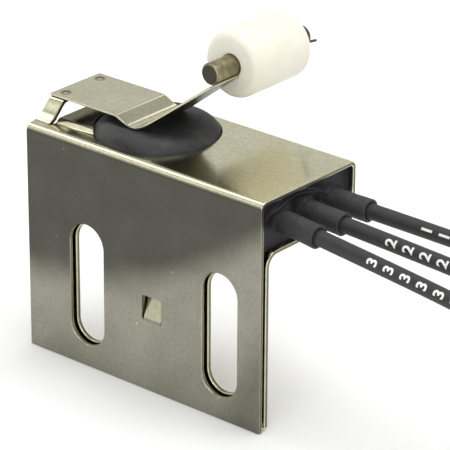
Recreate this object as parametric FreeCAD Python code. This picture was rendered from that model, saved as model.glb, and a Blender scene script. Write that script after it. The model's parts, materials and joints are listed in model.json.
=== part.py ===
import FreeCAD, Part
import math
import os
from FreeCAD import Vector

# Roller lever limit switch, in millimetres.
# The origin lies on the mounting face, midway between the two slots.
# +X runs along the plate to the lead end, +Y from the mounting face into the box, +Z up to the lever.

# Bracket sheet
SHEET = 0.9
PLATE_WIDTH = 57.0
PLATE_HEIGHT = 45.7
BOX_DEPTH = 27.0
BOX_HEIGHT = 11.1
FOLD_INSIDE = 0.6
FLANGE_FOLD_INSIDE = 2.2
FLANGE_GAP = 0.65
FLANGE_SHORT = 0.6

# Slots and locking tab in the plate and the flange behind it
SLOT_WIDTH = 8.4
SLOT_LENGTH = 24.8
SLOT_SPACING = 32.5
SLOTS_FROM_LEFT = 31.1
SLOTS_FROM_TOP = 28.8
FLANGE_SLOT_INSET = 0.35
TAB_WIDTH = 4.7
TAB_HEIGHT = 5.1
TAB_CORNER = 0.5
TAB_LEAN = 20.0
TAB_CLEARANCE = 0.3

# Bridge lanced up at the left end of the box top, and the ramp between it and the boot
BRIDGE_WIDTH = 3.5
BRIDGE_FOOT = 2.7
BRIDGE_SKIRT = 1.15
BRIDGE_RUN = 4.2
BRIDGE_RISE = 3.75
BRIDGE_FOOT_FOLD = 2.0
BRIDGE_TOP_FOLD = 1.0
BRIDGE_SLIT = 0.5
RAMP_FOOT = 4.0
RAMP_WALL = 0.9
RAMP_START_RISE = 0.85
RAMP_SLOPE = 0.03

# Boot and its hole in the box top
BOOT_FROM_LEFT = 20.8
BOOT_HOLE_RADIUS = 11.9
BOOT_HOLE_FLAT = 10.9
BOOT_CLEARANCE = 0.15
BOOT_WALL = 0.9
BOOT_FLANGE_RADIUS = 12.1
BOOT_FLANGE_THICKNESS = 1.1
BOOT_SHOULDER = 4.2
BOOT_BULGE_START = 0.3
BOOT_DISH = 0.2
BOOT_BOSS_RADIUS = 1.7

# Lever leaf, seen from its underside: flat on the bridge, dip over the boot, straight arm
LEVER_THICKNESS = 0.4
LEVER_WIDTH = 13.7
LEVER_TIP_WIDTH = 8.0
LEVER_FLAT = 16.5
LEVER_DIP_RUN = 4.6
LEVER_DIP = 2.15
LEVER_ARM = 17.2
LEVER_ARM_ANGLE = 38.2
LEVER_SHOULDER_FOLD = 1.2
LEVER_DIP_FOLD = 4.0
LEVER_GAP = 0.2
WELD_FROM_END = 2.1
WELD_SPACING = 9.4
WELD_RADIUS = 1.1
WELD_DEPTH = 0.12

# Axle, roller and cotter pin
AXLE_RADIUS = 2.12
AXLE_LENGTH = 27.0
AXLE_OVERLAP = 5.8
AXLE_FROM_TIP = 0.66
AXLE_CHAMFER = 0.35
AXLE_SEAT = 0.02
ROLLER_RADIUS = 6.5
ROLLER_LENGTH = 16.1
ROLLER_FILLET = 1.5
ROLLER_CLEARANCE = 0.06
ROLLER_SIDE_PLAY = 0.2
COTTER_FROM_END = 2.35
COTTER_WIRE = 0.5
COTTER_HOLE_CLEARANCE = 0.06
COTTER_EYE_RADIUS = 0.85
COTTER_EYE_LENGTH = 1.6
COTTER_LEG_OUT = 0.95
COTTER_LEG_BENT = 1.6
COTTER_LEG_SPLAY = 0.45
COTTER_BEND = 0.45

# Snap switch under the boot
CASE_LENGTH = 19.8
CASE_WIDTH = 6.4
CASE_WALL = 0.8
CASE_FLOOR = 1.0
CASE_SPLIT = 3.65
SEAT = 0.05
PLUNGER_RADIUS = 1.2
PLUNGER_COLLAR_RADIUS = 1.8
PLUNGER_COLLAR_THICKNESS = 0.5
PLUNGER_NECK = 0.2
PLUNGER_OUT = 1.6
PLUNGER_CLEARANCE = 0.05
STRIP_THICKNESS = 0.4
STRIP_WIDTH = 2.6
STRIP_OUT = 3.8
STRIP_IN = 4.3
STRIP_ROOF_GAP = 0.1
CONTACT_RADIUS = 0.95
CONTACT_THICKNESS = 0.4
CONTACT_FROM_WALL = 3.1
MOVING_CONTACT_HEIGHT = 1.0
CONTACT_TRAVEL = 0.65
RIVET_SHANK_RADIUS = 0.5
BLADE_THICKNESS = 0.25
BLADE_TAIL = 0.5
BLADE_NOSE = 1.1
POST_FROM_WALL = 1.0
SPRING_THICKNESS = 0.12
SPRING_WIDTH = 1.4
SPRING_FROM_POST = 3.6
SPRING_CONTACT_GAP = 0.55

# Resin, sleeves and leads
RESIN_LEFT_RECESS = 1.5
RESIN_RIGHT_RECESS = 1.2
LEAD_DIAMETER = 3.0
CONDUCTOR_DIAMETER = 1.2
CONDUCTOR_BEND = 2.0
CONDUCTOR_STRAIGHT = 2.0
CONDUCTOR_ON_STRIP = 2.7
SLEEVE_WALL = 0.6
SLEEVE_CLEARANCE = 0.05
SLEEVE_LENGTH = 13.2
TIP_LENGTH = 8.0

# Routes of the leads from the resin to their stripped ends
LEAD_ROUTES = {
    "common": [
        (20.9, 7.2, 23.4), (45.8, 5.2, 22.3), (71.7, 3.4, 20.5), (96.3, 2.6, 16.2),
        (119.3, 3.0, 7.0), (139.6, 4.4, -5.2), (160.5, 6.8, -15.2), (181.0, 9.6, -15.35),
    ],
    "open": [
        (20.9, 13.8, 23.1), (45.9, 13.0, 22.6), (71.9, 12.4, 21.5), (97.6, 12.1, 17.9),
        (121.7, 12.6, 9.4), (143.0, 13.6, -3.4), (164.3, 15.4, -14.9), (185.6, 18.2, -15.35),
    ],
    "closed": [
        (20.9, 20.8, 23.0), (44.9, 21.0, 22.9), (69.9, 21.4, 22.2), (95.7, 22.2, 19.0),
        (120.2, 23.6, 11.4), (142.8, 25.4, -0.8), (165.2, 28.2, -14.2), (187.2, 32.0, -15.35),
    ],
}

# Places that follow from the sizes above
LEFT = -SLOTS_FROM_LEFT
RIGHT = LEFT + PLATE_WIDTH
TOP = SLOTS_FROM_TOP
BOTTOM = TOP - PLATE_HEIGHT
MID_Y = BOX_DEPTH / 2
FLANGE_BACK = 2 * SHEET + FLANGE_GAP
BOX_ROOF = TOP - SHEET
BOX_FLOOR = TOP - BOX_HEIGHT + SHEET
BOOT_X = LEFT + BOOT_FROM_LEFT
BOOT_FLANGE_BOTTOM = BOX_ROOF - SEAT - BOOT_FLANGE_THICKNESS
SWITCH_TOP = BOOT_FLANGE_BOTTOM - SEAT
CASE_LEFT = BOOT_X - CASE_LENGTH / 2
CASE_RIGHT = BOOT_X + CASE_LENGTH / 2
CASE_ROOF = SWITCH_TOP - CASE_WALL
CASE_SPLIT_Z = SWITCH_TOP - CASE_SPLIT
CASE_FLOOR_TOP = BOX_FLOOR + CASE_FLOOR
CONTACT_X = CASE_RIGHT - CASE_WALL - CONTACT_FROM_WALL
CLOSED_STRIP_TOP = CASE_ROOF - STRIP_ROOF_GAP
CLOSED_FACE = CLOSED_STRIP_TOP - STRIP_THICKNESS - CONTACT_THICKNESS
BLADE_MID = CLOSED_FACE - SEAT - MOVING_CONTACT_HEIGHT / 2
OPEN_FACE = BLADE_MID - MOVING_CONTACT_HEIGHT / 2 - CONTACT_TRAVEL - SEAT
OPEN_STRIP_TOP = OPEN_FACE - CONTACT_THICKNESS
COMMON_STRIP_TOP = CASE_FLOOR_TOP + STRIP_THICKNESS
POST_X = CASE_LEFT + CASE_WALL + POST_FROM_WALL
PLUNGER_TOP = SWITCH_TOP + PLUNGER_OUT
RESIN_RIGHT = RIGHT - RESIN_RIGHT_RECESS


def unit(a, b):
    length = math.dist(a, b)
    return tuple((q - p) / length for p, q in zip(a, b))


# A run of straight edges with a tangent arc of its own radius at each corner, in the plane or in space
def rounded_wire(corners, radii, closed=False):
    points = [Vector(*p) for p in corners]
    count = len(points)
    entry, leave, edges = list(points), list(points), []
    arcs = [None] * count
    for i in range(0 if closed else 1, count if closed else count - 1):
        if radii[i] <= 0:
            continue
        here = points[i]
        before = (points[i - 1] - here).normalize()
        after = (points[(i + 1) % count] - here).normalize()
        half = before.getAngle(after) / 2
        reach = radii[i] / math.tan(half)
        entry[i] = here + before * reach
        leave[i] = here + after * reach
        inward = (before + after).normalize()
        middle = here + inward * (radii[i] / math.sin(half) - radii[i])
        arcs[i] = Part.Arc(entry[i], middle, leave[i]).toShape()
    for i in range(count):
        if arcs[i]:
            edges.append(arcs[i])
        following = (i + 1) % count
        if (closed or following) and (entry[following] - leave[i]).Length > 1e-6:
            edges.append(Part.LineSegment(leave[i], entry[following]).toShape())
    return Part.Wire(edges)


# The outline of a bent strip: one face's path, then the other face offset to the left by the thickness
def folded_strip(path, inside, thickness):
    away = []
    turns = []
    last = len(path) - 1
    for i, point in enumerate(path):
        into = unit(path[max(i - 1, 0)], path[max(i, 1)])
        out = unit(path[min(i, last - 1)], path[min(i + 1, last)])
        left_in, left_out = (-into[1], into[0]), (-out[1], out[0])
        lengthen = thickness / (1 + left_in[0] * left_out[0] + left_in[1] * left_out[1])
        away.append(tuple(point[k] + (left_in[k] + left_out[k]) * lengthen for k in (0, 1)))
        turns.append(into[0] * out[1] - into[1] * out[0])
    path_radii, away_radii = [], []
    for turn, radius in zip(turns, inside):
        outer = radius + abs(thickness) if radius else 0
        path_is_outer = (turn > 0) == (thickness > 0)
        path_radii.append(outer if path_is_outer else radius)
        away_radii.append(radius if path_is_outer else outer)
    return path + away[::-1], path_radii + away_radii[::-1]


def along_x(outline, radii, x, length):
    corners = [(x, y, z) for y, z in outline]
    return Part.Face(rounded_wire(corners, radii, True)).extrude(Vector(length, 0, 0))


def along_y(outline, radii, y, length):
    corners = [(x, y, z) for x, z in outline]
    return Part.Face(rounded_wire(corners, radii, True)).extrude(Vector(0, length, 0))


def box(x0, x1, y0, y1, z0, z1):
    return Part.makeBox(x1 - x0, y1 - y0, z1 - z0, Vector(x0, y0, z0))


def rod(radius, start, end):
    start, end = Vector(*start), Vector(*end)
    return Part.makeCylinder(radius, (end - start).Length, start, end - start)


def rectangle(u0, u1, v0, v1):
    return [(u0, v0), (u1, v0), (u1, v1), (u0, v1)]


# One sheet from the plate's lower edge over the top, round the box and down again behind the plate
def folded_sheet():
    path = [
        (0, BOTTOM),
        (0, TOP),
        (BOX_DEPTH, TOP),
        (BOX_DEPTH, TOP - BOX_HEIGHT),
        (FLANGE_BACK, TOP - BOX_HEIGHT),
        (FLANGE_BACK, BOTTOM + FLANGE_SHORT),
    ]
    inside = [0, FOLD_INSIDE, FOLD_INSIDE, FOLD_INSIDE, FLANGE_FOLD_INSIDE, 0]
    return along_x(*folded_strip(path, inside, -SHEET), LEFT, PLATE_WIDTH)


# The slots in the plate, and slightly smaller ones in the flange behind it
def slots():
    between = SHEET + FLANGE_GAP / 2
    cuts = []
    for x in (-SLOT_SPACING / 2, SLOT_SPACING / 2):
        for inset, near, far in ((0, -SHEET, between), (FLANGE_SLOT_INSET, between, FLANGE_BACK + SHEET)):
            half_width, half_length = SLOT_WIDTH / 2 - inset, SLOT_LENGTH / 2 - inset
            outline = rectangle(x - half_width, x + half_width, -half_length, half_length)
            cuts.append(along_y(outline, [half_width] * 4, near, far - near))
    return cuts


def tab_window():
    outline = rectangle(-TAB_WIDTH / 2, TAB_WIDTH / 2, -TAB_HEIGHT / 2, TAB_HEIGHT / 2)
    return along_y(outline, [TAB_CORNER] * 4, -SHEET, FLANGE_BACK + 2 * SHEET)


# The tab stays joined to the plate at the window's lower edge and leans back through the flange
def locking_tab():
    lean = math.radians(TAB_LEAN)
    foot = -TAB_HEIGHT / 2
    height = TAB_HEIGHT - TAB_CLEARANCE
    path = [(0, foot - SHEET), (0, foot), (height * math.tan(lean), foot + height)]
    width = TAB_WIDTH - 2 * TAB_CLEARANCE
    return along_x(*folded_strip(path, [0, 0, 0], -SHEET), -width / 2, width)


def bridge():
    foot, top = BRIDGE_FOOT, BRIDGE_FOOT + BRIDGE_RUN
    path = [
        (foot - BRIDGE_SKIRT, TOP),
        (foot, TOP),
        (top, TOP + BRIDGE_RISE),
        (BOX_DEPTH - top, TOP + BRIDGE_RISE),
        (BOX_DEPTH - foot, TOP),
        (BOX_DEPTH - foot + BRIDGE_SKIRT, TOP),
    ]
    inside = [0, BRIDGE_FOOT_FOLD, BRIDGE_TOP_FOLD, BRIDGE_TOP_FOLD, BRIDGE_FOOT_FOLD, 0]
    return along_x(*folded_strip(path, inside, -SHEET), LEFT, BRIDGE_WIDTH)


def bridge_window():
    right = LEFT + BRIDGE_WIDTH + BRIDGE_SLIT
    return box(LEFT - SHEET, right, BRIDGE_FOOT, BOX_DEPTH - BRIDGE_FOOT, BOX_ROOF - SHEET, TOP + SHEET)


# A ruled body with sloping side walls whose top climbs towards the boot
def ramp_body(inset, drop):
    start = LEFT + BRIDGE_WIDTH + BRIDGE_SLIT
    wires = []
    for x in (start, BOOT_X):
        rise = RAMP_START_RISE + RAMP_SLOPE * (x - start)
        foot = RAMP_FOOT + inset
        low, high = TOP - SHEET - drop, TOP + rise - drop
        section = [
            (x, foot, low),
            (x, foot, TOP - drop),
            (x, foot + RAMP_WALL, high),
            (x, BOX_DEPTH - foot - RAMP_WALL, high),
            (x, BOX_DEPTH - foot, TOP - drop),
            (x, BOX_DEPTH - foot, low),
        ]
        wires.append(rounded_wire(section, [0] * len(section), True))
    return Part.makeLoft(wires, True, True)


def boot_plan(radius, flat, z0, z1):
    disc = Part.makeCylinder(radius, z1 - z0, Vector(BOOT_X, MID_Y, z0))
    return disc.common(box(BOOT_X - radius, BOOT_X + radius, MID_Y - flat, MID_Y + flat, z0, z1))


def make_bracket():
    sheet = folded_sheet().cut(bridge_window())
    sheet = sheet.fuse([bridge(), ramp_body(0, 0)])
    sheet = sheet.cut(ramp_body(SHEET / 2, SHEET))
    ceiling = TOP + BRIDGE_RISE
    sheet = sheet.cut(boot_plan(BOOT_HOLE_RADIUS, BOOT_HOLE_FLAT, BOX_ROOF - SHEET / 2, ceiling))
    sheet = sheet.cut(slots() + [tab_window()])
    return sheet.fuse(locking_tab()).removeSplitter()


# The underside of the lever: the flat, the dip and the tip
def lever_path():
    flat_z = TOP + BRIDGE_RISE
    dip_x = LEFT + LEVER_FLAT + LEVER_DIP_RUN
    arm = math.radians(LEVER_ARM_ANGLE)
    return [
        (LEFT, flat_z),
        (LEFT + LEVER_FLAT, flat_z),
        (dip_x, flat_z - LEVER_DIP),
        (dip_x + LEVER_ARM * math.cos(arm), flat_z - LEVER_DIP + LEVER_ARM * math.sin(arm)),
    ]


# The lowest point of the rounded dip
def lever_low():
    down = math.atan2(LEVER_DIP, LEVER_DIP_RUN)
    up = math.radians(LEVER_ARM_ANGLE)
    radius = LEVER_DIP_FOLD + LEVER_THICKNESS
    lift = radius * (math.cos((up - down) / 2) / math.cos((up + down) / 2) - 1)
    return TOP + BRIDGE_RISE - LEVER_DIP + lift


# What the taper takes off the arm, from the dip to the tip, on the side away from the roller
def arm_taper():
    dip_x, tip_x = lever_path()[2][0], lever_path()[3][0]
    near = MID_Y - LEVER_WIDTH / 2
    slope = (LEVER_WIDTH - LEVER_TIP_WIDTH) / (tip_x - dip_x)
    beyond = tip_x + SHEET
    edge = near + slope * (beyond - dip_x)
    plan = [(dip_x, near), (dip_x, near - SHEET), (beyond, near - SHEET), (beyond, edge)]
    outline = rounded_wire([(x, y, TOP) for x, y in plan], [0] * len(plan), True)
    return Part.Face(outline).extrude(Vector(0, 0, LEVER_ARM))


def make_lever():
    inside = [0, LEVER_SHOULDER_FOLD, LEVER_DIP_FOLD, 0]
    outline, radii = folded_strip(lever_path(), inside, LEVER_THICKNESS)
    leaf = along_y(outline, radii, MID_Y - LEVER_WIDTH / 2, LEVER_WIDTH).cut(arm_taper())
    ball = (WELD_RADIUS**2 + WELD_DEPTH**2) / (2 * WELD_DEPTH)
    face = TOP + BRIDGE_RISE + LEVER_THICKNESS
    for y in (MID_Y - WELD_SPACING / 2, MID_Y + WELD_SPACING / 2):
        at = Vector(LEFT + WELD_FROM_END, y, face + ball - WELD_DEPTH)
        leaf = leaf.cut(Part.makeSphere(ball, at))
    return leaf


# The axle lies along the tip of the arm, on its upper face
def axle_centre():
    tip = lever_path()[-1]
    arm = math.radians(LEVER_ARM_ANGLE)
    off = LEVER_THICKNESS + AXLE_SEAT + AXLE_RADIUS
    x = tip[0] - AXLE_FROM_TIP * math.cos(arm) - off * math.sin(arm)
    z = tip[1] - AXLE_FROM_TIP * math.sin(arm) + off * math.cos(arm)
    return x, z


def axle_start():
    return MID_Y + LEVER_WIDTH / 2 - AXLE_OVERLAP


def cotter_y():
    return axle_start() + AXLE_LENGTH - COTTER_FROM_END


def make_axle():
    x, z = axle_centre()
    y = axle_start()
    pin = rod(AXLE_RADIUS, (x, y, z), (x, y + AXLE_LENGTH, z))
    rims = [e for e in pin.Edges if e.Curve.TypeId == "Part::GeomCircle"]
    pin = pin.makeChamfer(AXLE_CHAMFER, rims)
    hole = COTTER_WIRE + COTTER_HOLE_CLEARANCE
    reach = 2 * AXLE_RADIUS
    return pin.cut(rod(hole, (x - reach, cotter_y(), z), (x + reach, cotter_y(), z)))


def make_roller():
    x, z = axle_centre()
    near = MID_Y + LEVER_WIDTH / 2 + ROLLER_SIDE_PLAY
    body = rod(ROLLER_RADIUS, (x, near, z), (x, near + ROLLER_LENGTH, z))
    rims = [e for e in body.Edges if e.Curve.TypeId == "Part::GeomCircle"]
    body = body.makeFillet(ROLLER_FILLET, rims)
    bore = AXLE_RADIUS + ROLLER_CLEARANCE
    return body.cut(rod(bore, (x, near - SEAT, z), (x, near + ROLLER_LENGTH + SEAT, z)))


def pipe(path, radius):
    start = path.Vertexes[0].Point
    ring = Part.Wire(Part.makeCircle(radius, start, path.Edges[0].tangentAt(path.Edges[0].FirstParameter)))
    return path.makePipeShell([ring], True, False)


# One wire: a leg bent along the axle, the eye, and a straight leg beside the first
def make_cotter():
    x, z = axle_centre()
    y = cotter_y()
    leg = COTTER_WIRE / 2
    out = x + AXLE_RADIUS + COTTER_LEG_OUT
    eye = x - AXLE_RADIUS - COTTER_WIRE / 2
    slant = COTTER_EYE_RADIUS - leg
    route = [
        (out + COTTER_LEG_SPLAY, y + leg + COTTER_LEG_BENT, z),
        (out, y + leg, z),
        (eye, y + leg, z),
        (eye - slant, y + COTTER_EYE_RADIUS, z),
        (eye - COTTER_EYE_LENGTH, y + COTTER_EYE_RADIUS, z),
        (eye - COTTER_EYE_LENGTH, y - COTTER_EYE_RADIUS, z),
        (eye - slant, y - COTTER_EYE_RADIUS, z),
        (eye, y - leg, z),
        (out, y - leg, z),
    ]
    round_end = COTTER_EYE_RADIUS - SEAT
    radii = [0, COTTER_BEND, COTTER_BEND, COTTER_BEND, round_end, round_end, COTTER_BEND, COTTER_BEND, 0]
    return pipe(rounded_wire(route, radii), leg)


# A turned section: the outside from the dished top over the shoulder to the flange,
# then the inside and the boss
def make_boot():
    neck = BOOT_HOLE_RADIUS - BOOT_CLEARANCE
    top = lever_low() - LEVER_GAP
    shoulder = neck - BOOT_SHOULDER
    lip = TOP + BOOT_BULGE_START
    flange_top = BOX_ROOF - SEAT
    boss = PLUNGER_TOP + SEAT
    inner_top = top - BOOT_WALL - BOOT_DISH

    def at(r, z):
        return Vector(BOOT_X + r, MID_Y, z)

    def line(a, b):
        return Part.LineSegment(a, b).toShape()

    bulge = math.sqrt(0.5)
    halfway = at(shoulder / 2, top - BOOT_DISH * 3 / 4)
    crest = at(shoulder + BOOT_SHOULDER * bulge, lip + (top - lip) * bulge)
    cave = neck - BOOT_WALL
    hollow = at(shoulder + (cave - shoulder) * bulge, TOP + (inner_top - TOP) * bulge)
    edges = [
        Part.Arc(at(0, top - BOOT_DISH), halfway, at(shoulder, top)).toShape(),
        Part.Arc(at(shoulder, top), crest, at(neck, lip)).toShape(),
        line(at(neck, lip), at(neck, flange_top)),
        line(at(neck, flange_top), at(BOOT_FLANGE_RADIUS, flange_top)),
        line(at(BOOT_FLANGE_RADIUS, flange_top), at(BOOT_FLANGE_RADIUS, BOOT_FLANGE_BOTTOM)),
        line(at(BOOT_FLANGE_RADIUS, BOOT_FLANGE_BOTTOM), at(cave, BOOT_FLANGE_BOTTOM)),
        line(at(cave, BOOT_FLANGE_BOTTOM), at(cave, TOP)),
        Part.Arc(at(cave, TOP), hollow, at(shoulder, inner_top)).toShape(),
        line(at(shoulder, inner_top), at(BOOT_BOSS_RADIUS, inner_top)),
        line(at(BOOT_BOSS_RADIUS, inner_top), at(BOOT_BOSS_RADIUS, boss)),
        line(at(BOOT_BOSS_RADIUS, boss), at(0, boss)),
        line(at(0, boss), at(0, top - BOOT_DISH)),
    ]
    turned = Part.Face(Part.Wire(edges)).revolve(Vector(BOOT_X, MID_Y, 0), Vector(0, 0, 1), 360)
    slab = boot_plan(neck, BOOT_HOLE_FLAT - BOOT_CLEARANCE, flange_top, top + SEAT)
    rim = BOOT_FLANGE_RADIUS + SEAT
    below = boot_plan(rim, rim, BOOT_FLANGE_BOTTOM - SEAT, flange_top)
    return turned.common(slab.fuse(below)).removeSplitter()


def strip(x0, x1, top):
    half = STRIP_WIDTH / 2
    return box(x0, x1, MID_Y - half, MID_Y + half, top - STRIP_THICKNESS, top)


def make_terminals():
    end = CASE_RIGHT + STRIP_OUT
    inner = CASE_RIGHT - CASE_WALL - STRIP_IN
    half = STRIP_WIDTH / 2
    post_top = BLADE_MID - BLADE_THICKNESS / 2 - SEAT
    left = POST_X - STRIP_THICKNESS / 2
    post = box(left, left + STRIP_THICKNESS, MID_Y - half, MID_Y + half, CASE_FLOOR_TOP, post_top)
    return {
        "common": strip(left, end, COMMON_STRIP_TOP).fuse(post).removeSplitter(),
        "open": strip(inner, end, OPEN_STRIP_TOP),
        "closed": strip(inner, end, CLOSED_STRIP_TOP),
    }


def contact(radius, z0, z1):
    return Part.makeCylinder(radius, z1 - z0, Vector(CONTACT_X, MID_Y, z0))


def make_case(terminals):
    y0, y1 = MID_Y - CASE_WIDTH / 2, MID_Y + CASE_WIDTH / 2
    wall = CASE_WALL
    inside = (CASE_LEFT + wall, CASE_RIGHT - wall, y0 + wall, y1 - wall)
    base = box(CASE_LEFT, CASE_RIGHT, y0, y1, BOX_FLOOR, CASE_SPLIT_Z)
    base = base.cut(box(*inside, CASE_FLOOR_TOP, CASE_SPLIT_Z))
    cover = box(CASE_LEFT, CASE_RIGHT, y0, y1, CASE_SPLIT_Z, SWITCH_TOP)
    cover = cover.cut(box(*inside, CASE_SPLIT_Z, CASE_ROOF))
    guide = PLUNGER_RADIUS + PLUNGER_CLEARANCE
    cover = cover.cut(rod(guide, (BOOT_X, MID_Y, CASE_ROOF), (BOOT_X, MID_Y, SWITCH_TOP)))
    return base.cut(list(terminals.values())), cover.cut(list(terminals.values()))


def make_plunger():
    collar_top = CASE_ROOF - SEAT
    collar_bottom = collar_top - PLUNGER_COLLAR_THICKNESS
    stem = rod(PLUNGER_RADIUS, (BOOT_X, MID_Y, collar_bottom - PLUNGER_NECK), (BOOT_X, MID_Y, PLUNGER_TOP))
    return stem.fuse(rod(PLUNGER_COLLAR_RADIUS, (BOOT_X, MID_Y, collar_bottom), (BOOT_X, MID_Y, collar_top)))


def make_blade():
    half = STRIP_WIDTH / 2
    z0, z1 = BLADE_MID - BLADE_THICKNESS / 2, BLADE_MID + BLADE_THICKNESS / 2
    blade = box(POST_X - BLADE_TAIL, CONTACT_X + BLADE_NOSE, MID_Y - half, MID_Y + half, z0, z1)
    blade = blade.cut(contact(RIVET_SHANK_RADIUS, z0, z1))
    reach = MOVING_CONTACT_HEIGHT / 2
    lower = contact(CONTACT_RADIUS, BLADE_MID - reach, z0)
    upper = contact(CONTACT_RADIUS, z1, BLADE_MID + reach)
    rivet = contact(RIVET_SHANK_RADIUS, z0, z1).fuse([lower, upper])
    return blade, rivet.removeSplitter()


# A bowed leaf between the blade and the plunger
def make_spring():
    low = BLADE_MID + BLADE_THICKNESS / 2 + SEAT
    plunger_end = CASE_ROOF - SEAT - PLUNGER_COLLAR_THICKNESS - PLUNGER_NECK
    bow = plunger_end - SEAT - SPRING_THICKNESS - low
    x0 = POST_X + SPRING_FROM_POST
    x1 = CONTACT_X - CONTACT_RADIUS - SPRING_CONTACT_GAP
    crown = (x0 + x1) / 2
    y = MID_Y - SPRING_WIDTH / 2
    edges = []
    for z in (low, low + SPRING_THICKNESS):
        edges.append(Part.Arc(Vector(x0, y, z), Vector(crown, y, z + bow), Vector(x1, y, z)).toShape())
    for x in (x0, x1):
        edges.append(Part.LineSegment(Vector(x, y, low), Vector(x, y, low + SPRING_THICKNESS)).toShape())
    outline = Part.Wire(Part.__sortEdges__(edges))
    return Part.Face(outline).extrude(Vector(0, SPRING_WIDTH, 0))


# Arcs as large as the runs beside each point allow
def cord_wire(name):
    points = LEAD_ROUTES[name]
    radii = [0.0]
    for before, here, after in zip(points, points[1:], points[2:]):
        turn = math.acos(min(1.0, sum(a * b for a, b in zip(unit(before, here), unit(here, after)))))
        shorter = min(math.dist(before, here), math.dist(here, after))
        radii.append(0.45 * shorter / math.tan(turn / 2))
    print(name, "lead arc radii", [round(r, 1) for r in radii[1:]])
    return rounded_wire(points, radii + [0.0])


def make_lead(name):
    points = LEAD_ROUTES[name]
    path = cord_wire(name)
    lead = pipe(path, LEAD_DIAMETER / 2)
    expected = math.pi * LEAD_DIAMETER**2 / 4 * path.Length
    print(name, "lead length", round(path.Length, 1))
    print(name, "lead volume over section times length", round(lead.Volume / expected, 5))
    ahead = Vector(*unit(points[-2], points[-1]))
    end = Vector(*points[-1])
    tip = rod(CONDUCTOR_DIAMETER / 2, end, end + ahead * TIP_LENGTH)
    return lead, tip


def make_sleeve(name):
    start = Vector(*LEAD_ROUTES[name][0])
    ahead = Vector(*unit(*LEAD_ROUTES[name][:2]))
    bore = LEAD_DIAMETER / 2 + SLEEVE_CLEARANCE
    end = start + ahead * SLEEVE_LENGTH
    return rod(bore + SLEEVE_WALL, start, end).cut(rod(bore, start, end))


# Bare wire along the terminal, then across to the lead
def make_conductor(name, z):
    start = Vector(*LEAD_ROUTES[name][0])
    ahead = Vector(*unit(*LEAD_ROUTES[name][:2]))
    end = CASE_RIGHT + STRIP_OUT
    route = [
        (end - CONDUCTOR_ON_STRIP, MID_Y, z),
        (end, MID_Y, z),
        tuple(start - ahead * CONDUCTOR_STRAIGHT),
        tuple(start),
    ]
    return pipe(rounded_wire(route, [0, CONDUCTOR_BEND, CONDUCTOR_BEND, 0]), CONDUCTOR_DIAMETER / 2)


# Resin fills the box round the case, up to the sheet beside the boot and to the boot's flange under it
def make_resin(buried):
    y0, y1 = SHEET, BOX_DEPTH - SHEET
    left = LEFT + RESIN_LEFT_RECESS
    corner = FOLD_INSIDE + SEAT
    section = rectangle(y0, y1, BOX_FLOOR, BOX_ROOF)
    fill = along_x(section, [0, corner, corner, corner], left, RESIN_RIGHT - left)
    recess = BOOT_FLANGE_RADIUS + SEAT
    fill = fill.cut([
        box(left - SEAT, BOOT_X, y0 - SEAT, y1 + SEAT, SWITCH_TOP, TOP),
        Part.makeCylinder(recess, TOP - SWITCH_TOP, Vector(BOOT_X, MID_Y, SWITCH_TOP)),
        box(CASE_LEFT, CASE_RIGHT, MID_Y - CASE_WIDTH / 2, MID_Y + CASE_WIDTH / 2, BOX_FLOOR, SWITCH_TOP),
    ])
    return fill.cut(buried)


def make_parts():
    terminals = make_terminals()
    base, cover = make_case(terminals)
    blade, rivet = make_blade()
    parts = {
        "bracket": make_bracket(),
        "lever_leaf": make_lever(),
        "roller_axle": make_axle(),
        "roller": make_roller(),
        "cotter_pin": make_cotter(),
        "boot": make_boot(),
        "switch_base": base,
        "switch_cover": cover,
        "plunger": make_plunger(),
        "moving_blade": blade,
        "moving_contact": rivet,
        "snap_spring": make_spring(),
        "open_contact": contact(CONTACT_RADIUS, OPEN_STRIP_TOP, OPEN_FACE),
        "closed_contact": contact(CONTACT_RADIUS, CLOSED_FACE, CLOSED_STRIP_TOP - STRIP_THICKNESS),
    }
    lift = CONDUCTOR_DIAMETER / 2 + SEAT
    conductor_z = {
        "common": COMMON_STRIP_TOP + lift,
        "open": OPEN_STRIP_TOP + lift,
        "closed": CLOSED_STRIP_TOP - STRIP_THICKNESS - lift,
    }
    buried = []
    for name in LEAD_ROUTES:
        lead, tip = make_lead(name)
        sleeve = make_sleeve(name)
        conductor = make_conductor(name, conductor_z[name])
        parts[name + "_terminal"] = terminals[name]
        parts[name + "_conductor"] = conductor
        parts[name + "_sleeve"] = sleeve
        parts[name + "_lead"] = lead
        parts[name + "_tip"] = tip
        buried += [terminals[name], conductor, sleeve, lead]
    parts["resin"] = make_resin(buried)
    return parts


os.makedirs("parts", exist_ok=True)
for node, shape in make_parts().items():
    print(node, "solids", len(shape.Solids), "valid", shape.isValid(), "mm3", round(shape.Volume, 2))
    shape.exportStep("parts/" + node + ".step")
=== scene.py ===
import json
import math

import bmesh
import bpy
import numpy as np
from mathutils import Matrix, Vector


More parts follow.
